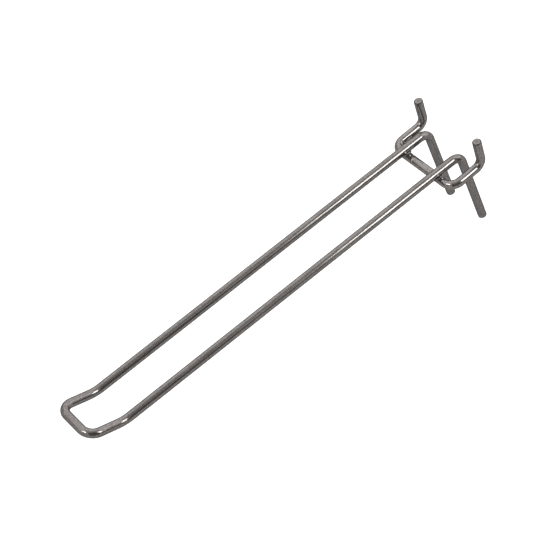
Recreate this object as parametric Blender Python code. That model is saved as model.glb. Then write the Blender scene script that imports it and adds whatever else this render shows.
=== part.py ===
"""Double hook for a perforated panel: a long loop of steel wire welded onto a bent peg bracket.

Metres, +Z up. The front face of the panel is the plane Y = 0, and the hook reaches out along -Y.
The origin is on that face, midway between the two pegs, level with the bracket's side runs there.
The legs of the loop lie against the panel, and the pegs turn up behind it.
"""

import math

import bmesh
import bpy
from mathutils import Vector

MM = 0.001

# Wire
WIRE = 5.5 * MM  # diameter of both wires
END_ROUND = 0.6 * MM  # rounding of the sheared ends
SEAT_GAP = 0.3 * MM  # clearance kept between pieces that touch

# Loop wire, measured between corners on the centreline
ARM_LENGTH = 248.0 * MM
ARM_RISE = math.radians(6.7)  # the arms climb towards the front
LIP_LENGTH = 23.0 * MM
LIP_TURN = math.radians(21.0)  # the lip turns up from the arms
LEG_LENGTH = 61.0 * MM
LEG_TO_SIDE = 5.5 * MM  # clear space between a leg and the bracket beside it
REAR_BEND = 7.2 * MM  # bend radii are on the centreline
LIP_BEND = 23.0 * MM
FRONT_BEND = 7.2 * MM

# Bracket wire
PEG_PITCH = 50.0 * MM  # two holes of the panel
PEG_LENGTH = 19.5 * MM
PEG_LEAN = math.radians(4.7)  # the pegs lean back, away from the panel
PEG_CLEARANCE = 0.3 * MM  # from the panel's front face to the foot of a peg
SIDE_RISE = math.radians(5.0)  # the side runs climb towards the cross bar
BAR_REACH = 17.2 * MM  # along the arms, from their rear corners to the cross bar
BAR_BEND = 6.3 * MM
PEG_BEND = 5.3 * MM

# Weld metal
WELD_WIDTH = 6.4 * MM
WELD_HEIGHT = 3.2 * MM

# Facets
BEVEL_RESOLUTION = 10  # a ring of 24 sides
ARC_STEP = math.radians(6.0)
END_STEPS = 3
WELD_SEGMENTS = 32
WELD_RINGS = 16
MERGE_DISTANCE = 0.01 * MM

PLATING_COLOR = (0.55, 0.53, 0.51, 1.0)
WELD_COLOR = (0.30, 0.28, 0.27, 1.0)


def forward(climb):
    """Unit vector out from the panel, climbing at an angle."""
    return Vector((0.0, -math.cos(climb), math.sin(climb)))


def square_to(climb):
    """Unit vector up and square to a run that climbs at an angle."""
    return Vector((0.0, math.sin(climb), math.cos(climb)))


ALONG_ARM = forward(ARM_RISE)
OVER_ARM = square_to(ARM_RISE)
RADIUS = WIRE / 2
ARM_SPACING = PEG_PITCH - 2 * (WIRE + LEG_TO_SIDE)

# Corner points in the side view, X = 0. The cross bar hangs one wire below the arms.
arm_rear_y = -RADIUS
bar_drop = WIRE + SEAT_GAP
bar_y = arm_rear_y + BAR_REACH * ALONG_ARM.y - bar_drop * OVER_ARM.y
BAR = Vector((0.0, bar_y, -bar_y * math.tan(SIDE_RISE)))
REAR = BAR + bar_drop * OVER_ARM - BAR_REACH * ALONG_ARM
LIP = REAR + ARM_LENGTH * ALONG_ARM
FRONT = LIP + LIP_LENGTH * forward(ARM_RISE + LIP_TURN)
LEG_END = REAR - Vector((0.0, 0.0, LEG_LENGTH))
peg_foot_y = RADIUS + PEG_CLEARANCE
PEG_FOOT = Vector((0.0, peg_foot_y, -peg_foot_y * math.tan(SIDE_RISE)))
PEG_TIP = PEG_FOOT + PEG_LENGTH * Vector((0.0, math.sin(PEG_LEAN), math.cos(PEG_LEAN)))
WELD = BAR + bar_drop / 2 * OVER_ARM


def clear_scene():
    for obj in list(bpy.data.objects):
        bpy.data.objects.remove(obj, do_unlink=True)


def make_collection(name):
    collection = bpy.data.collections.new(name)
    bpy.context.scene.collection.children.link(collection)
    return collection


def make_material(name, color, roughness):
    material = bpy.data.materials.new(name)
    material.use_nodes = True
    shader = material.node_tree.nodes["Principled BSDF"]
    shader.inputs["Base Color"].default_value = color
    shader.inputs["Metallic"].default_value = 1.0
    shader.inputs["Roughness"].default_value = roughness
    return material


def mirrored_corners(side_view, half_width):
    """Corners of a wire that runs down one side, across, and back along the other."""
    left = [point - Vector((half_width, 0.0, 0.0)) for point in side_view]
    right = [point + Vector((half_width, 0.0, 0.0)) for point in reversed(side_view)]
    return left + right


def bend(before, corner, after, radius):
    """Points of the arc that rounds one corner, tangent to the runs on both sides of it."""
    to_before = (before - corner).normalized()
    to_after = (after - corner).normalized()
    opening = to_before.angle(to_after)
    turn = math.pi - opening
    start = corner + to_before * radius / math.tan(opening / 2)
    middle = (to_before + to_after).normalized()
    centre = corner + middle * radius / math.sin(opening / 2)
    outward = (start - centre).normalized()
    steps = max(2, math.ceil(turn / ARC_STEP))
    angles = [turn * step / steps for step in range(steps + 1)]
    return [centre + radius * (math.cos(a) * outward - math.sin(a) * to_before) for a in angles]


def centreline(corners, radii):
    """A bent wire's centreline: straight runs joined by arcs."""
    points = [corners[0]]
    for index, radius in enumerate(radii, start=1):
        points += bend(corners[index - 1], corners[index], corners[index + 1], radius)
    return points + [corners[-1]]


def rounded_end(tip, inner):
    """Points and radius shares of a wire end whose rim is a quarter circle, from the tip inwards."""
    inwards = (inner - tip).normalized()
    rows = []
    for step in range(END_STEPS + 1):
        angle = math.pi / 2 * step / END_STEPS
        shrink = END_ROUND * (1 - math.sin(angle))
        rows.append((tip + inwards * END_ROUND * (1 - math.cos(angle)), 1 - shrink / RADIUS))
    return rows


def make_tube(name, rows, radius, collection):
    """A curve with filled caps; each row is a point and its share of the radius."""
    curve = bpy.data.curves.new(name, "CURVE")
    curve.dimensions = "3D"
    curve.bevel_depth = radius
    curve.bevel_resolution = BEVEL_RESOLUTION
    curve.render_resolution_u = 0
    curve.use_fill_caps = True
    spline = curve.splines.new("POLY")
    spline.points.add(len(rows) - 1)
    for point, (place, share) in zip(spline.points, rows):
        point.co = (*place, 1.0)
        point.radius = share
    tube = bpy.data.objects.new(name, curve)
    collection.objects.link(tube)
    return tube


def make_wire(name, points, material, collection):
    """A wire of the real diameter with rounded ends."""
    head = rounded_end(points[0], points[1])
    tail = rounded_end(points[-1], points[-2])
    middle = [(point, 1.0) for point in points[1:-1]]
    wire = make_tube(name, head + middle + tail[::-1], RADIUS, collection)
    wire.data.materials.append(material)
    return wire


def make_clearance(name, points, collection):
    """A cutter along a wire, wider than it by the seat gap, as a closed mesh."""
    tube = make_tube(name + "_guide", [(point, 1.0) for point in points], RADIUS + SEAT_GAP, collection)
    bpy.context.view_layer.update()
    evaluated = tube.evaluated_get(bpy.context.evaluated_depsgraph_get())
    mesh = bpy.data.meshes.new_from_object(evaluated)
    shell = bmesh.new()
    shell.from_mesh(mesh)
    bmesh.ops.remove_doubles(shell, verts=shell.verts, dist=MERGE_DISTANCE)
    bmesh.ops.recalc_face_normals(shell, faces=shell.faces)
    shell.to_mesh(mesh)
    shell.free()
    cutter = bpy.data.objects.new(name, mesh)
    cutter.matrix_world = tube.matrix_world
    cutter.hide_render = True
    cutter.display_type = "WIRE"
    collection.objects.link(cutter)
    bpy.data.objects.remove(tube, do_unlink=True)
    return cutter


def make_weld(name, side, cutters, material, collection):
    """A collar of weld metal in the notch between arm and cross bar: a flat ball less both wires."""
    ball = bmesh.new()
    bmesh.ops.create_uvsphere(ball, u_segments=WELD_SEGMENTS, v_segments=WELD_RINGS, radius=WELD_WIDTH / 2)
    flatten = Vector((1.0, 1.0, WELD_HEIGHT / WELD_WIDTH))
    bmesh.ops.scale(ball, vec=flatten, verts=ball.verts)
    mesh = bpy.data.meshes.new(name)
    ball.to_mesh(mesh)
    ball.free()
    mesh.materials.append(material)
    mesh.shade_smooth()
    weld = bpy.data.objects.new(name, mesh)
    weld.location = WELD + Vector((side * ARM_SPACING / 2, 0.0, 0.0))
    weld.rotation_euler = (-ARM_RISE, 0.0, 0.0)
    collection.objects.link(weld)
    for cutter in cutters:
        seat = weld.modifiers.new(cutter.name, "BOOLEAN")
        seat.operation = "DIFFERENCE"
        seat.solver = "EXACT"
        seat.object = cutter
    return weld


def main():
    clear_scene()
    pieces = make_collection("double_hook")
    cutters = make_collection("cutters")
    loop_plating = make_material("loop_plating", PLATING_COLOR, 0.2)
    bracket_plating = make_material("bracket_plating", PLATING_COLOR, 0.2)
    weld_metal = make_material("weld_metal", WELD_COLOR, 0.45)

    loop_corners = mirrored_corners([LEG_END, REAR, LIP, FRONT], ARM_SPACING / 2)
    loop_radii = [REAR_BEND, LIP_BEND, FRONT_BEND, FRONT_BEND, LIP_BEND, REAR_BEND]
    loop_line = centreline(loop_corners, loop_radii)
    bracket_corners = mirrored_corners([PEG_TIP, PEG_FOOT, BAR], PEG_PITCH / 2)
    bracket_line = centreline(bracket_corners, [PEG_BEND, BAR_BEND, BAR_BEND, PEG_BEND])

    parts = [
        make_wire("loop_wire", loop_line, loop_plating, pieces),
        make_wire("bracket_wire", bracket_line, bracket_plating, pieces),
    ]
    clearances = [
        make_clearance("loop_clearance", loop_line, cutters),
        make_clearance("bracket_clearance", bracket_line, cutters),
    ]
    for name, side in (("weld_left", -1), ("weld_right", 1)):
        parts.append(make_weld(name, side, clearances, weld_metal, pieces))

    hook = bpy.data.objects.new("double_hook", None)
    pieces.objects.link(hook)
    for part in parts:
        part.parent = hook


main()
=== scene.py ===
"""Looks of the double hook: bright plated wire, its bends, sheared ends and welds, in a white studio.

Metres, +Z up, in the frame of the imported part: the panel's front face is Y = 0 and the arms run along -Y.
"""

import math

import bpy
import numpy as np
from mathutils import Matrix, Vector


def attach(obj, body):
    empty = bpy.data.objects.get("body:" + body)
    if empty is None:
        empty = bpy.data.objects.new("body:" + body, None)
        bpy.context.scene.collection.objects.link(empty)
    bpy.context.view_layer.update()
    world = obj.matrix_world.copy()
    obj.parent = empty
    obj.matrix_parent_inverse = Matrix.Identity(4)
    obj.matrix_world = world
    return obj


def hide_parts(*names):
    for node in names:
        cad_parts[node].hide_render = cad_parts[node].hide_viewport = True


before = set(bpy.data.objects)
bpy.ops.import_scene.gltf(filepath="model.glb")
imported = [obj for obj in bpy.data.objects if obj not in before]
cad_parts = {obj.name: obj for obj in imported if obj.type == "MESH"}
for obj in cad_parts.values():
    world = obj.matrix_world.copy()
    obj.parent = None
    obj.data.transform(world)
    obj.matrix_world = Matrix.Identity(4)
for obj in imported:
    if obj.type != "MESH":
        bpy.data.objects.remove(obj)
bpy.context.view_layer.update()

MM = 0.001
ACROSS = np.array([1.0, 0.0, 0.0])
OUT = np.array([0.0, -1.0, 0.0])
UP = np.array([0.0, 0.0, 1.0])

# Wire
WIRE = 5.5 * MM
RADIUS = WIRE / 2
END_ROUND = 0.6 * MM
SEAT_GAP = 0.3 * MM

# Loop wire, between corners on the centreline
ARM_LENGTH = 248.0 * MM
ARM_RISE = math.radians(6.7)
LIP_LENGTH = 23.0 * MM
LIP_TURN = math.radians(21.0)
LEG_LENGTH = 61.0 * MM
LEG_TO_SIDE = 5.5 * MM
REAR_BEND = 7.2 * MM
LIP_BEND = 23.0 * MM
FRONT_BEND = 7.2 * MM

# Bracket wire
PEG_PITCH = 50.0 * MM
PEG_LENGTH = 19.5 * MM
PEG_LEAN = math.radians(4.7)
PEG_CLEARANCE = 0.3 * MM
SIDE_RISE = math.radians(5.0)
BAR_REACH = 17.2 * MM
BAR_BEND = 6.3 * MM
PEG_BEND = 5.3 * MM


def forward(climb):
    """Unit vector out from the panel, climbing at an angle."""
    return math.cos(climb) * OUT + math.sin(climb) * UP


def square_to(climb):
    """Unit vector up and square to a run that climbs at an angle."""
    return math.cos(climb) * UP - math.sin(climb) * OUT


ALONG_ARM = forward(ARM_RISE)
OVER_ARM = square_to(ARM_RISE)
ARM_SPACING = PEG_PITCH - 2 * (WIRE + LEG_TO_SIDE)
BAR_DROP = WIRE + SEAT_GAP

bar_y = -RADIUS + BAR_REACH * ALONG_ARM[1] - BAR_DROP * OVER_ARM[1]
foot_y = RADIUS + PEG_CLEARANCE
BAR = np.array([0.0, bar_y, -bar_y * math.tan(SIDE_RISE)])
REAR = BAR + BAR_DROP * OVER_ARM - BAR_REACH * ALONG_ARM
LIP = REAR + ARM_LENGTH * ALONG_ARM
FRONT = LIP + LIP_LENGTH * forward(ARM_RISE + LIP_TURN)
LEG_END = REAR - LEG_LENGTH * UP
PEG_FOOT = np.array([0.0, foot_y, -foot_y * math.tan(SIDE_RISE)])
PEG_TIP = PEG_FOOT + PEG_LENGTH * square_to(PEG_LEAN)
WELD = BAR + BAR_DROP / 2 * OVER_ARM


def crossing(side):
    """Middle of the weld on the left, -1, or on the right, 1."""
    return WELD + side * ARM_SPACING / 2 * ACROSS


def unit(vector):
    """A vector of the same direction and length 1."""
    return vector / np.linalg.norm(vector)


def turned(vector, axis, angles):
    """A vector turned about a unit axis by each of many angles.

    Turned = v cos t + (axis x v) sin t + axis (axis . v) (1 - cos t)
    """
    cos = np.cos(angles)[:, None]
    sin = np.sin(angles)[:, None]
    return vector * cos + np.cross(axis, vector) * sin + axis * (axis @ vector) * (1 - cos)


def mirrored_corners(side_view, half_width):
    """Corners of a wire that runs down one side, across, and back along the other."""
    left = [point - half_width * ACROSS for point in side_view]
    right = [point + half_width * ACROSS for point in reversed(side_view)]
    return left + right


# Samples of a centreline, and a direction that none of its runs takes
RUN_STEP = 12.0 * MM
LEAST_RUN_STEPS = 2
ARC_STEP = math.radians(2.5)
LEAST_ARC_STEPS = 4
OFF_EVERY_RUN = np.array([0.3, 1.0, 0.2])


def bent_line(corners, radii):
    """Centreline of straight runs joined by arcs, with a frame that never twists about it.

    Returns, for each sample, its point, its tangent, a side vector carried along without twist,
    and a bend vector that points to the arc's centre and fades in and out along the arc.
    """
    corners = np.array(corners)
    parts = []
    heading = unit(corners[1] - corners[0])
    side = unit(np.cross(heading, OFF_EVERY_RUN))
    start = corners[0]
    for corner, after, radius in zip(corners[1:-1], corners[2:], radii):
        onward = unit(after - corner)
        axis = unit(np.cross(heading, onward))
        turn = math.acos(heading @ onward)
        arc_start = corner - heading * radius * math.tan(turn / 2)
        parts.append(straight_run(start, arc_start, heading, side))
        steps = max(LEAST_ARC_STEPS, math.ceil(turn / ARC_STEP))
        angles = np.linspace(0, turn, steps, endpoint=False)
        inward = np.cross(axis, heading)
        toward_centre = turned(inward, axis, angles)
        points = arc_start + radius * inward - radius * toward_centre
        tangents = turned(heading, axis, angles)
        sides = turned(side, axis, angles)
        fade = np.sqrt(np.sin(np.pi * angles / turn))[:, None]
        parts.append((points, tangents, sides, toward_centre * fade))
        start = corner + onward * radius * math.tan(turn / 2)
        side = turned(side, axis, np.array([turn]))[0]
        heading = onward
    parts.append(straight_run(start, corners[-1], heading, side))
    parts.append((corners[-1:], heading[None], side[None], np.zeros((1, 3))))
    return [np.concatenate(rows) for rows in zip(*parts)]


def straight_run(start, end, heading, side):
    """Samples of one straight run, its last point left to what follows."""
    count = max(LEAST_RUN_STEPS, math.ceil(np.linalg.norm(end - start) / RUN_STEP))
    share = np.linspace(0, 1, count, endpoint=False)[:, None]
    points = start + (end - start) * share
    return points, np.tile(heading, (count, 1)), np.tile(side, (count, 1)), np.zeros((count, 3))


def mesh_from(name, vertices, faces, material):
    """A smooth mesh object at the origin from arrays of points and of faces."""
    mesh = bpy.data.meshes.new(name)
    mesh.from_pydata(vertices.tolist(), [], faces)
    mesh.shade_smooth()
    mesh.materials.append(material)
    piece = bpy.data.objects.new(name, mesh)
    bpy.context.scene.collection.objects.link(piece)
    return piece


def put_attribute(piece, name, kind, values):
    """One value for each vertex, for materials to read."""
    attribute = piece.data.attributes.new(name, kind, "POINT")
    field = "vector" if kind == "FLOAT_VECTOR" else "value"
    attribute.data.foreach_set(field, values.astype(np.float32).ravel())


def tube_faces(rings, sides, first=0):
    """Quads between a tube's rings, and fans at its ends to the two poles, which come after the rings."""
    ring, side = np.meshgrid(np.arange(rings - 1), np.arange(sides), indexing="ij")
    here = ring * sides + side
    across = ring * sides + (side + 1) % sides
    quads = np.stack([here, across, across + sides, here + sides], axis=-1).reshape(-1, 4)
    around = np.arange(sides)
    onward = (around + 1) % sides
    last = (rings - 1) * sides
    first_pole = rings * sides
    head = np.stack([np.full(sides, first_pole), onward, around], axis=-1)
    tail = np.stack([np.full(sides, first_pole + 1), last + around, last + onward], axis=-1)
    return (quads + first).tolist() + (head + first).tolist() + (tail + first).tolist()


# Sheared ends: the face's rings in shares of its edge, its dimple and slope, then the bevel and its arcs
FACE_RINGS = 8
FIRST_RING = 0.12
LAST_RING = 0.98
DIMPLE_DEPTH = 0.22 * MM
DIMPLE_SHARE = 0.72
SHEAR_SLOPE = 0.05 * MM
BEVEL_ANGLE = math.radians(45)
ARC_RINGS = 5
FACE_ARC = 0.10 * MM
SIDE_ARC = 0.30 * MM


def end_profile():
    """Rings of a sheared end, from the face's middle to the full wire.

    Returns the rings' depths from the tip, their radii, and how much of each is cut face. The face is a
    ring round a shallow dimple, with depth = d (1 + cos(pi r / ring)) / 2 inside the ring. Then comes the
    rim, a bevel that is rounded by a small arc at the face and a wider one at the wire.
    """
    bevel = END_ROUND - FACE_ARC * (1 - math.cos(BEVEL_ANGLE)) - SIDE_ARC * math.cos(BEVEL_ANGLE)
    face_edge = RADIUS - bevel - FACE_ARC * math.sin(BEVEL_ANGLE) - SIDE_ARC * (1 - math.sin(BEVEL_ANGLE))
    reach = face_edge * np.linspace(FIRST_RING, LAST_RING, FACE_RINGS)
    dimple = DIMPLE_DEPTH * (1 + np.cos(np.pi * np.minimum(reach / (DIMPLE_SHARE * face_edge), 1))) / 2
    first = np.linspace(0, BEVEL_ANGLE, ARC_RINGS)
    second = np.linspace(BEVEL_ANGLE, 2 * BEVEL_ANGLE, ARC_RINGS)
    face = [dimple, reach, np.ones(FACE_RINGS)]
    face_arc = [FACE_ARC * (1 - np.cos(first)), face_edge + FACE_ARC * np.sin(first), np.cos(2 * first)]
    side_reach = RADIUS - SIDE_ARC * (1 - np.sin(second))
    side_arc = [END_ROUND - SIDE_ARC * np.cos(second), side_reach, np.zeros(ARC_RINGS)]
    return np.concatenate([face, face_arc, side_arc], axis=1)


# Wire surfaces, and how far apart in their pattern two wires start
SIDES = 72
BEND_FLATTENING = 0.03
PATTERN_SHIFT = 40.0


def make_wire(name, corners, radii, material, seed):
    """A bent wire: a circle carried along the centreline, a little flattened inside each bend.

    Point = centreline + r (cos a side + sin a up), with r = R (1 - f (n . b)^2), where n is the
    outward direction, b the bend vector and f the flattening. Both ends close with the sheared face.
    """
    line = bent_line(corners, radii)
    depth, reach, cut_share = end_profile()
    between = len(line[0]) - 2
    tip = np.zeros(len(depth), int)
    sample = np.concatenate([tip, np.arange(between) + 1, tip + between + 1])
    points, tangents, sides, bends = [rows[sample] for rows in line]
    points += np.concatenate([depth, np.zeros(between), -depth[::-1]])[:, None] * tangents
    radius = np.concatenate([reach, np.full(between, RADIUS), reach[::-1]])
    cut = np.concatenate([cut_share, np.zeros(between), cut_share[::-1]])

    ups = np.cross(tangents, sides)
    angles = np.linspace(0, 2 * np.pi, SIDES, endpoint=False)
    outward = np.cos(angles)[:, None] * sides[:, None] + np.sin(angles)[:, None] * ups[:, None]
    toward_bend = np.einsum("rsc,rc->rs", outward, bends)
    swell = 1 - BEND_FLATTENING * toward_bend**2
    surface = points[:, None] + (radius[:, None] * swell)[..., None] * outward

    rng = np.random.default_rng(seed)
    for rows, inward in ((slice(0, FACE_RINGS), tangents[0]), (slice(-FACE_RINGS, None), -tangents[-1])):
        slope = rng.uniform(0, 2 * np.pi)
        lean = SHEAR_SLOPE * (1 + np.cos(angles - slope)) * (radius[rows] / RADIUS)[:, None]
        surface[rows] += lean[..., None] * inward

    poles = np.array([surface[0].mean(axis=0), surface[-1].mean(axis=0)])
    vertices = np.concatenate([surface.reshape(-1, 3), poles])
    wire = mesh_from(name, vertices, tube_faces(len(points), SIDES), material)

    steps = np.linalg.norm(np.diff(points, axis=0), axis=1)
    run = np.concatenate([[0.0], np.cumsum(steps)]) / RADIUS + PATTERN_SHIFT * seed
    place = np.empty((len(points), SIDES, 3))
    place[..., 0] = np.cos(angles) * (radius / RADIUS)[:, None]
    place[..., 1] = np.sin(angles) * (radius / RADIUS)[:, None]
    place[..., 2] = run[:, None]
    ends = np.array([[0.0, 0.0, run[0]], [0.0, 0.0, run[-1]]])
    put_attribute(wire, "wire_place", "FLOAT_VECTOR", np.concatenate([place.reshape(-1, 3), ends]))
    put_attribute(wire, "cut_face", "FLOAT", np.concatenate([np.repeat(cut, SIDES), [1.0, 1.0]]))
    return wire


def lumps(directions, rng, count, sharpness):
    """Smooth random bumps over a ball: a sum of exp(sharpness (d . k - 1)) about random directions k."""
    heads = rng.normal(size=(count, 3))
    heads /= np.linalg.norm(heads, axis=1)[:, None]
    heights = rng.uniform(-1, 1, count)
    return np.exp(sharpness * (directions @ heads.T - 1)) @ heights


def ball_grid(rings, sides):
    """Directions over a ball, ring by ring from the bottom, with its two poles last."""
    latitude = np.radians(np.linspace(-90, 90, rings + 2)[1:-1])[:, None]
    angles = np.linspace(0, 2 * np.pi, sides, endpoint=False)
    flat = np.cos(latitude)
    level = np.repeat(np.sin(latitude), sides, axis=1)
    grid = np.stack([flat * np.cos(angles), flat * np.sin(angles), level], axis=-1)
    return np.concatenate([grid.reshape(-1, 3), [-UP, UP]])


# Weld bead: its size, then as shares of it its waves, ripples and lumps, and the width of the lumps' ring
BEAD_REACH = 2.0 * MM
BEAD_RADIUS = 0.86 * MM
BEAD_TURNS = 160
BEAD_SIDES = 40
OVAL_WAVE = 0.07
CORNER_WAVE = 0.05
LAST_PHASE = 6.0
RIPPLE_HEIGHT = 0.035
RIPPLE_COUNT = 26
RIPPLE_SLANT = 1.2
LUMP_HEIGHT = 0.16
LUMP_COUNT = 90
LUMP_SHARPNESS = 16.0
LUMP_RING = 1.2

# Drops of spatter: wire, millimetres along it, degrees from its top, width and height in mm, lean
DROPS_LEFT = [
    ("arm", 2.3, 74, 1.2, 0.30, 0.9),
    ("bar", 3.6, -6, 1.1, 0.28, 0.9),
    ("bar", 6.9, -39, 1.3, 0.30, 0.8),
    ("bar", -4.3, -20, 1.0, 0.30, -0.3),
    ("bar", 4.9, 28, 0.7, 0.25, 0.2),
]
DROPS_RIGHT = [
    ("arm", 2.0, 70, 1.0, 0.30, 0.8),
    ("bar", 3.4, 1, 1.1, 0.30, 0.9),
    ("bar", 5.0, -24, 1.3, 0.30, 0.8),
    ("bar", -4.6, -12, 0.9, 0.30, -0.3),
]
DROP_RINGS = 11
DROP_SIDES = 24
DROP_STRETCH = 1.35
DROP_LUMP_HEIGHT = 0.06
DROP_LUMP_COUNT = 12
DROP_LUMP_SHARPNESS = 5.0
OFF_EVERY_POLE = np.array([0.2, 1.0, 0.1])


def make_weld(name, side, drops, material, seed):
    """Weld metal run round the crossing in one lumpy bead, with drops of spatter on the wires beside it.

    Bead = centre(f) + b (cos s (cos f, sin f, 0) + sin s (0, 0, 1)), where centre(f) goes round at the
    bead's reach, midway between the two wires' surfaces, and b is its radius with ripples and lumps.
    """
    rng = np.random.default_rng(seed)
    turn, section = np.meshgrid(
        np.linspace(0, 2 * np.pi, BEAD_TURNS, endpoint=False),
        np.linspace(0, 2 * np.pi, BEAD_SIDES, endpoint=False),
        indexing="ij",
    )
    out = np.stack([np.cos(turn), np.sin(turn), np.zeros_like(turn)], axis=-1)
    oval, corner = rng.uniform(0, LAST_PHASE, 2)
    waves = OVAL_WAVE * np.sin(2 * turn + oval) + CORNER_WAVE * np.sin(3 * turn + corner)
    reach = BEAD_REACH * (1 + waves)
    under_arm = BAR_DROP / 2 - np.sqrt(RADIUS**2 - (reach * np.cos(turn)) ** 2)
    over_bar = -BAR_DROP / 2 + np.sqrt(RADIUS**2 - (reach * np.sin(turn)) ** 2)
    centre = reach[..., None] * out + ((under_arm + over_bar) / 2)[..., None] * UP
    normal = np.cos(section)[..., None] * out + np.sin(section)[..., None] * UP
    ripples = RIPPLE_HEIGHT * np.sin(RIPPLE_COUNT * turn + RIPPLE_SLANT * np.cos(section))
    on_ring = (normal + LUMP_RING * out).reshape(-1, 3) / (1 + LUMP_RING)
    rough = LUMP_HEIGHT * lumps(on_ring, rng, LUMP_COUNT, LUMP_SHARPNESS).reshape(turn.shape)
    radius = BEAD_RADIUS * (1 + ripples + rough)
    vertices = [(centre + radius[..., None] * normal).reshape(-1, 3)]
    faces = closed_faces(BEAD_TURNS, BEAD_SIDES)

    ball = ball_grid(DROP_RINGS, DROP_SIDES)
    first = BEAD_TURNS * BEAD_SIDES
    for number, drop in enumerate(drops):
        vertices.append(spatter(ball, rng, *drop))
        faces += tube_faces(DROP_RINGS, DROP_SIDES, first + number * len(ball))
    axes = np.stack([ACROSS, -ALONG_ARM, OVER_ARM])
    weld = mesh_from(name, crossing(side) + np.concatenate(vertices) @ axes, faces, material)
    put_attribute(weld, "spatter", "FLOAT", np.repeat([0.0, 1.0], [first, len(ball) * len(drops)]))
    return weld


def spatter(ball, rng, wire, along, angle, width, height, lean):
    """A flat lumpy drop half sunk in a wire, its top leaning along the bar or up the arm's flank.

    Point = middle + (s w x, w y, h z) of a lumpy ball, with s the stretch, w half the width, h the height
    and z along the wire's outward direction plus the lean.
    """
    tilt = math.radians(angle)
    if wire == "bar":
        axis = ACROSS
        radial = math.cos(tilt) * UP - math.sin(tilt) * OUT
        level = -BAR_DROP / 2
        slope = axis
    else:
        axis = OUT
        radial = math.cos(tilt) * UP + math.sin(tilt) * ACROSS
        level = BAR_DROP / 2
        slope = UP
    middle = along * MM * axis + level * UP + RADIUS * radial
    pole = unit(radial + lean * slope)
    first_side = unit(np.cross(OFF_EVERY_POLE, pole))
    second_side = np.cross(pole, first_side)
    size = np.array([DROP_STRETCH * width / 2, width / 2, height]) * MM
    swell = 1 + DROP_LUMP_HEIGHT * lumps(ball, rng, DROP_LUMP_COUNT, DROP_LUMP_SHARPNESS)
    return middle + ball * swell[:, None] * size @ np.stack([first_side, second_side, pole])


def closed_faces(turns, sides):
    """Quads of a rope closed on itself."""
    turn, side = np.meshgrid(np.arange(turns), np.arange(sides), indexing="ij")
    onward = (turn + 1) % turns
    around = (side + 1) % sides
    corners = [turn * sides + side, onward * sides + side, onward * sides + around, turn * sides + around]
    return np.stack(corners, axis=-1).reshape(-1, 4).tolist()


# Ways to map a range, and the places of the colour sockets on a node that mixes
RISING = (0.0, 1.0)
FALLING = (1.0, 0.0)
MIX_FIRST = 6
MIX_SECOND = 7
MIX_RESULT = 2


class Nodes:
    """Short calls for one material's node tree."""

    def __init__(self, name):
        self.material = bpy.data.materials.new(name)
        self.material.use_nodes = True
        self.tree = self.material.node_tree
        self.shader = self.tree.nodes["Principled BSDF"]

    def add(self, kind, **settings):
        node = self.tree.nodes.new(kind)
        for key, value in settings.items():
            setattr(node, key, value)
        return node

    def link(self, source, target):
        self.tree.links.new(source, target)

    def put(self, value, socket):
        """Sets a socket to a constant, or links a node's output to it."""
        if isinstance(value, (int, float, tuple)):
            socket.default_value = value
        else:
            self.link(value, socket)

    def surface(self, output):
        """Makes a shader the material's surface."""
        self.link(output, self.tree.nodes["Material Output"].inputs["Surface"])

    def place(self):
        """Object coordinates, which are the shared frame's."""
        return self.add("ShaderNodeTexCoord").outputs["Object"]

    def attribute(self, name, output):
        """A value that the mesh carries."""
        return self.add("ShaderNodeAttribute", attribute_name=name).outputs[output]

    def flat(self, vector):
        """X and Y of a vector."""
        node = self.add("ShaderNodeSeparateXYZ")
        self.link(vector, node.inputs["Vector"])
        return node.outputs["X"], node.outputs["Y"]

    def noise(self, vector, scale, detail, stretch=None):
        """Noise from 0 to 1 of a vector, which may be stretched first."""
        if stretch is not None:
            mapping = self.add("ShaderNodeMapping")
            mapping.inputs["Scale"].default_value = stretch
            self.link(vector, mapping.inputs["Vector"])
            vector = mapping.outputs["Vector"]
        node = self.add("ShaderNodeTexNoise")
        node.inputs["Scale"].default_value = scale
        node.inputs["Detail"].default_value = detail
        self.link(vector, node.inputs["Vector"])
        return node.outputs["Fac"]

    def math(self, operation, *values):
        node = self.add("ShaderNodeMath", operation=operation)
        for socket, value in zip(node.inputs, values):
            self.put(value, socket)
        return node.outputs[0]

    def plus(self, base, value, share):
        """Base + share x value."""
        return self.math("ADD", base, self.math("MULTIPLY", value, share))

    def remap(self, value, span, onto=RISING):
        """Smooth step from one number to another while the value crosses a span."""
        node = self.add("ShaderNodeMapRange")
        node.interpolation_type = "SMOOTHSTEP"
        self.link(value, node.inputs["Value"])
        for key, number in zip(("From Min", "From Max", "To Min", "To Max"), span + onto):
            node.inputs[key].default_value = number
        return node.outputs["Result"]

    def mix(self, share, first, second):
        """Colour between two colours."""
        node = self.add("ShaderNodeMix", data_type="RGBA")
        self.put(share, node.inputs["Factor"])
        self.put(first, node.inputs[MIX_FIRST])
        self.put(second, node.inputs[MIX_SECOND])
        return node.outputs[MIX_RESULT]

    def bump(self, height, distance, strength, after=None):
        """Normal of a surface raised by a height, over that of an earlier bump."""
        node = self.add("ShaderNodeBump")
        node.inputs["Strength"].default_value = strength
        node.inputs["Distance"].default_value = distance
        self.link(height, node.inputs["Height"])
        if after is not None:
            self.link(after, node.inputs["Normal"])
        return node.outputs["Normal"]

    def distance_to(self, vector, place):
        node = self.add("ShaderNodeVectorMath", operation="DISTANCE")
        self.link(vector, node.inputs[0])
        node.inputs[1].default_value = tuple(place)
        return node.outputs["Value"]


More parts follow.
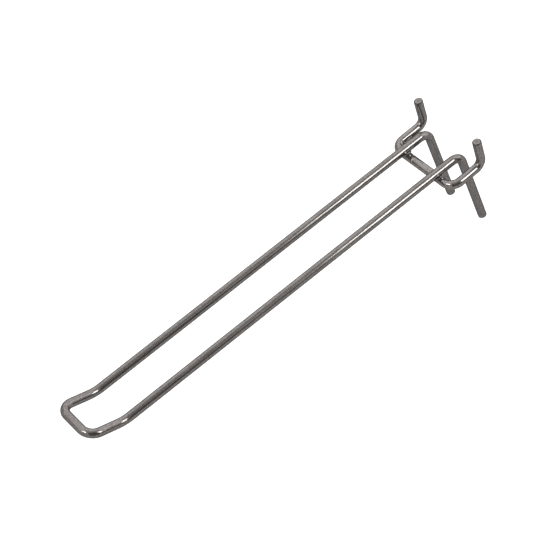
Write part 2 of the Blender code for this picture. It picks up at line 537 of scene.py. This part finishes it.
# Colours of the metal
PLATING = (0.113, 0.101, 0.096, 1.0)
PLATING_LIGHT = (0.194, 0.177, 0.169, 1.0)
# Painted shade round the welds
PAINTED_WELD_SHADE = (0.110, 0.093, 0.088, 1.0)
CUT_RING = (0.155, 0.146, 0.140, 1.0)
CUT_CORE = (0.115, 0.098, 0.092, 1.0)
# Painted shade on the rims of the cut faces
PAINTED_RIM_SHADE = (0.045, 0.041, 0.039, 1.0)
# Painted shade in the weld's hollows, then the tops of its lumps
WELD_HOLLOW_SHADE = (0.105, 0.090, 0.085, 1.0)
WELD_LIGHT = (0.190, 0.176, 0.168, 1.0)
SPATTER = (0.27, 0.25, 0.24, 1.0)
EDGE_TINT = (0.25, 0.25, 0.25, 1.0)
# Painted light: the bracket's plating a little lighter, for brighter reflections between the wires
BRACKET_PAINTED_LIGHT = 1.14

# Noises of the plating: scale, detail and, where it follows the wire, stretch
STREAKS = (7.0, 3.0, (1.0, 1.0, 0.02))
FINE_LINES = (26.0, 2.0, (1.0, 1.0, 0.006))
CLOUDS = (90.0, 3.0)
GRAIN = (1900.0, 1.0)
WELD_SHADE_NOISE = (700.0, 2.0)
CORE_NOISE = (1500.0, 2.0)
SHEAR_LINES = (9.0, 3.0, (0.15, 1.0, 0.0))

# Tone of the plating: the noises' shares, and the span that they cover from dark to light
STREAK_SHARE = 0.5
CLOUD_SHARE = 0.25
GRAIN_SHARE = 1.2
TONE_SPAN = (0.855, 1.095)

# Painted shade round the welds: where it fades out round a weld, and how ragged that line is
WELD_SHADE_SPAN = (3.0 * MM, 5.2 * MM)
WELD_SHADE_RAGGED = 1.6 * MM

# Sheared ends, in shares of the wire's radius: the core's edge, and the two sides of the painted shade on
# the rim
CORE_SPAN = (0.25, 0.55)
CORE_RAGGED = 0.3
RIM_INNER = (0.76, 0.82)
RIM_OUTER = (0.975, 1.0)

# Gloss of the plating, what dulls it, and its bumps as a height and a strength
PLATING_METALLIC = 0.80
PLATING_ROUGHNESS = (0.04, 0.08)
LINE_SHARE = 0.5
LINES_SPAN = (0.5, 1.0)
WELD_SHADE_DULLS = 0.12
CUT_DULLS = 0.26
STREAK_BUMP = (0.0033 * MM, 0.5)
LINE_BUMP = (0.0012 * MM, 0.5)
SHEAR_BUMP = (0.05 * MM, 0.6)


def shaded(color, factor):
    """A colour times a factor."""
    return tuple(factor * channel for channel in color[:3]) + (1.0,)


def painted_weld_shade_mask(n, world):
    """Painted shade: 1 round the two welds, fading out along a ragged line."""
    nearest = n.math("MINIMUM", *[n.distance_to(world, crossing(side)) for side in (-1, 1)])
    ragged = n.plus(nearest, n.noise(world, *WELD_SHADE_NOISE), WELD_SHADE_RAGGED)
    return n.remap(ragged, WELD_SHADE_SPAN, FALLING)


def sheared_ring(n, reach, world):
    """1 on the outer ring of a cut face, and 0 on its core."""
    return n.remap(n.plus(reach, n.noise(world, *CORE_NOISE), CORE_RAGGED), CORE_SPAN)


def painted_rim_shade_mask(n, reach):
    """Painted shade: 1 on the dark edge between a cut face and the wire's side."""
    return n.math("MULTIPLY", n.remap(reach, RIM_INNER), n.remap(reach, RIM_OUTER, FALLING))


def plated_wire_material(name, factor):
    """Bright plating over drawn wire: faint lines, cloudy tone and grain, painted shade round the welds,
    and sheared ends with painted shade on their rims.

    The factor makes one length of wire a little lighter than the other: painted light, for brighter
    reflections between the wires.
    """
    n = Nodes(name)
    place = n.attribute("wire_place", "Vector")
    cut = n.attribute("cut_face", "Fac")
    world = n.place()
    reach = n.math("SQRT", n.math("ADD", *[n.math("POWER", part, 2.0) for part in n.flat(place)]))

    streaks = n.noise(place, *STREAKS)
    fine_lines = n.noise(place, *FINE_LINES)
    weld_shade = painted_weld_shade_mask(n, world)
    rim = painted_rim_shade_mask(n, reach)

    tone = n.math("MULTIPLY", streaks, STREAK_SHARE)
    tone = n.plus(tone, n.noise(world, *CLOUDS), CLOUD_SHARE)
    tone = n.plus(tone, n.noise(world, *GRAIN), GRAIN_SHARE)
    color = n.mix(n.remap(tone, TONE_SPAN), shaded(PLATING, factor), shaded(PLATING_LIGHT, factor))
    # Painted shade darkens the plating round the welds
    color = n.mix(weld_shade, color, PAINTED_WELD_SHADE)
    color = n.mix(cut, color, n.mix(sheared_ring(n, reach, world), CUT_CORE, CUT_RING))
    # Painted shade on the cut faces' rims
    color = n.mix(rim, color, PAINTED_RIM_SHADE)
    n.link(color, n.shader.inputs["Base Color"])

    roughness = n.remap(n.plus(streaks, fine_lines, LINE_SHARE), LINES_SPAN, PLATING_ROUGHNESS)
    roughness = n.plus(roughness, weld_shade, WELD_SHADE_DULLS)
    roughness = n.plus(roughness, n.math("MAXIMUM", cut, rim), CUT_DULLS)
    n.link(roughness, n.shader.inputs["Roughness"])
    n.shader.inputs["Metallic"].default_value = PLATING_METALLIC
    n.shader.inputs["Specular Tint"].default_value = EDGE_TINT

    normal = n.bump(streaks, *STREAK_BUMP)
    normal = n.bump(fine_lines, *LINE_BUMP, normal)
    normal = n.bump(n.math("MULTIPLY", n.noise(place, *SHEAR_LINES), cut), *SHEAR_BUMP, normal)
    n.link(normal, n.shader.inputs["Normal"])
    return n.material


# Weld metal: its noises, the spans that they cover, its gloss and bumps, and what differs on the drops
WELD_COARSE = (1100.0, 3.0)
WELD_FINE = (3800.0, 2.0)
COARSE_SPAN = (0.38, 0.62)
FINE_SPAN = (0.35, 0.65)
WELD_METALLIC = 0.65
WELD_ROUGHNESS = (0.16, 0.34)
COARSE_BUMP = (0.10 * MM, 0.6)
FINE_BUMP = (0.02 * MM, 0.5)
DROP_SMOOTHER = 0.02
DROP_FLATTER = 0.8


def weld_material():
    """Plated weld metal: lumpy, with painted shade in its hollows, and bright smooth drops of spatter."""
    n = Nodes("weld_metal")
    world = n.place()
    drop = n.attribute("spatter", "Fac")
    coarse = n.noise(world, *WELD_COARSE)
    fine = n.noise(world, *WELD_FINE)
    # Painted shade: the noise that lowers the lumps' hollows also darkens them
    color = n.mix(n.remap(coarse, COARSE_SPAN), WELD_HOLLOW_SHADE, WELD_LIGHT)
    color = n.mix(drop, color, SPATTER)
    n.link(color, n.shader.inputs["Base Color"])
    roughness = n.remap(fine, FINE_SPAN, WELD_ROUGHNESS)
    n.link(n.plus(roughness, drop, -DROP_SMOOTHER), n.shader.inputs["Roughness"])
    n.shader.inputs["Metallic"].default_value = WELD_METALLIC
    lumps_left = n.plus(1.0, drop, -DROP_FLATTER)
    normal = n.bump(n.math("MULTIPLY", coarse, lumps_left), *COARSE_BUMP)
    normal = n.bump(n.math("MULTIPLY", fine, lumps_left), *FINE_BUMP, normal)
    n.link(normal, n.shader.inputs["Normal"])
    return n.material


# Middle of the hook, which the lamps and cards stand round
MIDDLE = Vector((0.0, -0.13, 0.02))

# Lights a little cooler than the plating is warm, which keeps the highlights white
SOFTBOX_COLOR = (0.93, 1.0, 1.0)
CARD_COLOR = (0.98, 1.0, 1.0, 1.0)


def toward(azimuth, elevation):
    """Unit vectors to places round the hook: azimuth 0 is in front, along -Y, and 90 is along +X.

    Vector = (sin a cos e, -cos a cos e, sin e)
    """
    a, e = np.radians(azimuth), np.radians(elevation)
    return np.stack([np.sin(a) * np.cos(e), -np.cos(a) * np.cos(e), np.sin(e)], axis=-1)


def softbox(name, azimuth, elevation, distance, width, height, radiance, turn=0.0):
    """A rectangular lamp that faces the hook and isn't seen directly by the camera.

    Its power is pi x area x radiance, and it is turned about the line from the hook to it.
    """
    lamp = bpy.data.lights.new(name, "AREA")
    lamp.shape = "RECTANGLE"
    lamp.size = width
    lamp.size_y = height
    lamp.energy = radiance * math.pi * width * height
    lamp.color = SOFTBOX_COLOR
    box = bpy.data.objects.new(name, lamp)
    bpy.context.scene.collection.objects.link(box)
    direction = Vector(toward(azimuth, elevation))
    facing = direction.to_track_quat("Z", "Y").to_matrix() @ Matrix.Rotation(math.radians(turn), 3, "Z")
    box.matrix_world = Matrix.LocRotScale(MIDDLE + direction * distance, facing, None)
    box.visible_camera = False


# Grid of a card
CARD_ROWS = 24
CARD_COLUMNS = 32


def studio_card(name, azimuths, elevations, distance, radiance, edge):
    """A curved card round the hook, part of a ball, that fades out over a soft edge.

    Point = middle + R toward(a, e), with a and e evenly spaced over the card. The card's own place runs
    from -1 to 1 both ways.
    """
    across, up = np.meshgrid(np.linspace(-1, 1, CARD_COLUMNS + 1), np.linspace(-1, 1, CARD_ROWS + 1))
    ball = toward(np.interp(across, [-1, 1], azimuths), np.interp(up, [-1, 1], elevations))
    points = np.array(MIDDLE) + distance * ball.reshape(-1, 3)
    row, column = np.meshgrid(np.arange(CARD_ROWS), np.arange(CARD_COLUMNS), indexing="ij")
    here = (row * (CARD_COLUMNS + 1) + column).ravel()
    above = here + CARD_COLUMNS + 1
    faces = np.stack([here, above, above + 1, here + 1], axis=-1).tolist()
    card = mesh_from(name, points, faces, studio_card_material(name, radiance, edge))
    put_attribute(card, "card_place", "FLOAT_VECTOR", np.stack([across, up, np.zeros_like(up)], axis=-1))
    card.visible_camera = False
    card.visible_shadow = False


def studio_card_material(name, radiance, edge):
    """Glow mixed with clear: share = fade(|x|) fade(|y|), where fade falls from 1 to 0 over the edge."""
    n = Nodes(name)
    n.tree.nodes.remove(n.shader)
    place = n.attribute("card_place", "Vector")
    fades = [n.remap(n.math("ABSOLUTE", part), (1.0 - edge, 1.0), FALLING) for part in n.flat(place)]
    glow = n.add("ShaderNodeEmission")
    glow.inputs["Color"].default_value = CARD_COLOR
    glow.inputs["Strength"].default_value = radiance
    clear = n.add("ShaderNodeBsdfTransparent")
    blend = n.add("ShaderNodeMixShader")
    share = n.math("MULTIPLY", *fades)
    for output, socket in zip((share, clear.outputs[0], glow.outputs[0]), blend.inputs):
        n.link(output, socket)
    n.surface(blend.outputs[0])
    n.material.cycles.emission_sampling = "NONE"
    return n.material


# Floor: glow added for the camera, and in the metal from the near reach to the far one
FLOOR_DROP = 0.9
FLOOR_SIZE = 20.0
FLOOR_COLOR = (0.5, 0.5, 0.5, 1.0)
FLOOR_SEEN = 0.6
FLOOR_MIRRORED = (0.28, 0.48)
FLOOR_REACHES = (0.7, 2.2)


def make_floor():
    """A pale floor that shows white to the camera and in the metal, and still takes the hook's shadow.

    In the metal its far part is a little brighter than the part below the hook.
    """
    n = Nodes("floor_white")
    n.shader.inputs["Base Color"].default_value = FLOOR_COLOR
    n.shader.inputs["Roughness"].default_value = 1.0
    n.shader.inputs["Specular IOR Level"].default_value = 0.0
    rays = n.add("ShaderNodeLightPath").outputs
    below = (MIDDLE.x, MIDDLE.y, -FLOOR_DROP)
    level = n.remap(n.distance_to(n.place(), below), FLOOR_REACHES, FLOOR_MIRRORED)
    mirrored = n.math("MAXIMUM", rays["Is Glossy Ray"], rays["Is Transmission Ray"])
    seen = n.math("MULTIPLY", rays["Is Camera Ray"], FLOOR_SEEN)
    glow = n.add("ShaderNodeEmission")
    n.link(n.plus(seen, mirrored, level), glow.inputs["Strength"])
    total = n.add("ShaderNodeAddShader")
    n.link(n.shader.outputs[0], total.inputs[0])
    n.link(glow.outputs[0], total.inputs[1])
    n.surface(total.outputs[0])
    n.material.cycles.emission_sampling = "NONE"
    outline = FLOOR_SIZE / 2 * np.array([[-1, -1, 0], [1, -1, 0], [1, 1, 0], [-1, 1, 0]])
    floor = mesh_from("floor", outline - FLOOR_DROP * UP, [[0, 1, 2, 3]], n.material)


def make_world():
    """Even white light from all round."""
    world = bpy.data.worlds.new("white_studio")
    world.use_nodes = True
    background = world.node_tree.nodes["Background"]
    background.inputs["Color"].default_value = (1.0, 1.0, 1.0, 1.0)
    background.inputs["Strength"].default_value = 1.0
    bpy.context.scene.world = world


def make_lights():
    """Softboxes, and dark and bright cards, at the directions that the wires mirror to the camera."""
    softbox("key_softbox", 127.2, 33, distance=3.0, width=0.76, height=1.42, radiance=8.2, turn=-23)
    softbox("key_fringe", 127.0, 33, distance=3.02, width=0.96, height=1.36, radiance=1.3, turn=-23)
    softbox("front_softbox", 3, 60, distance=3.0, width=1.15, height=0.48, radiance=15.0)
    studio_card("dark_side", (38, 112), (0, 67), distance=3.25, radiance=0.07, edge=0.13)
    studio_card("dark_low", (108, 128), (-8, 12), distance=3.3, radiance=0.12, edge=0.4)
    studio_card("dark_top", (105, 152), (49, 81), distance=3.4, radiance=0.35, edge=0.6)
    studio_card("left_low", (-140, -92), (-14, 16), distance=3.45, radiance=1.15, edge=0.5)
    studio_card("rear_wall", (137, 192), (-13, 49), distance=3.5, radiance=2.7, edge=0.47)
    studio_card("left_wall", (-174, -98), (-12, 67), distance=3.6, radiance=2.05, edge=0.23)
    studio_card("ceiling", (-136, 39), (34, 89), distance=3.7, radiance=1.95, edge=0.37)


# Camera: its place, its view line's azimuth and elevation, its roll about that line, its lens and sensor
CAMERA_PLACE = Vector((0.63495, -0.32295, 0.86561))
CAMERA_AZIMUTH = 73.280
CAMERA_ELEVATION = 51.535
CAMERA_ROLL = -29.128
LENS_LENGTH = 128.793
SENSOR = 36.0


def make_camera():
    """Camera at the photo's view."""
    lens = bpy.data.cameras.new("camera")
    lens.sensor_width = SENSOR
    lens.lens = LENS_LENGTH
    camera = bpy.data.objects.new("camera", lens)
    bpy.context.scene.collection.objects.link(camera)
    heading = Matrix.Rotation(math.radians(CAMERA_AZIMUTH), 4, "Z")
    tilt = Matrix.Rotation(math.radians(90.0 - CAMERA_ELEVATION), 4, "X")
    roll = Matrix.Rotation(math.radians(CAMERA_ROLL), 4, "Z")
    camera.matrix_world = Matrix.Translation(CAMERA_PLACE) @ heading @ tilt @ roll
    bpy.context.scene.camera = camera


def make_pieces():
    """The two wires and the two welds, each in the place of its solid."""
    plated_loop = plated_wire_material("plated_wire", 1.0)
    plated_bracket = plated_wire_material("plated_bracket_wire", BRACKET_PAINTED_LIGHT)
    weld_metal = weld_material()
    loop_corners = mirrored_corners([LEG_END, REAR, LIP, FRONT], ARM_SPACING / 2)
    loop_radii = [REAR_BEND, LIP_BEND, FRONT_BEND, FRONT_BEND, LIP_BEND, REAR_BEND]
    bracket_corners = mirrored_corners([PEG_TIP, PEG_FOOT, BAR], PEG_PITCH / 2)
    bracket_radii = [PEG_BEND, BAR_BEND, BAR_BEND, PEG_BEND]
    loop = make_wire("plated_loop", loop_corners, loop_radii, plated_loop, seed=1)
    bracket = make_wire("plated_bracket", bracket_corners, bracket_radii, plated_bracket, seed=2)
    bead_left = make_weld("weld_bead_left", -1, DROPS_LEFT, weld_metal, seed=5)
    bead_right = make_weld("weld_bead_right", 1, DROPS_RIGHT, weld_metal, seed=6)
    for piece, node, slot in (
        (loop, "loop_wire", "plated_wire"),
        (bracket, "bracket_wire", "plated_wire"),
        (bead_left, "weld_left", "weld_metal"),
        (bead_right, "weld_right", "weld_metal"),
    ):
        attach(piece, "root")
        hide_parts(node)


make_camera()
make_world()
make_floor()
make_lights()
make_pieces()
bpy.context.scene.view_settings.view_transform = "Standard"
bpy.context.view_layer.update()
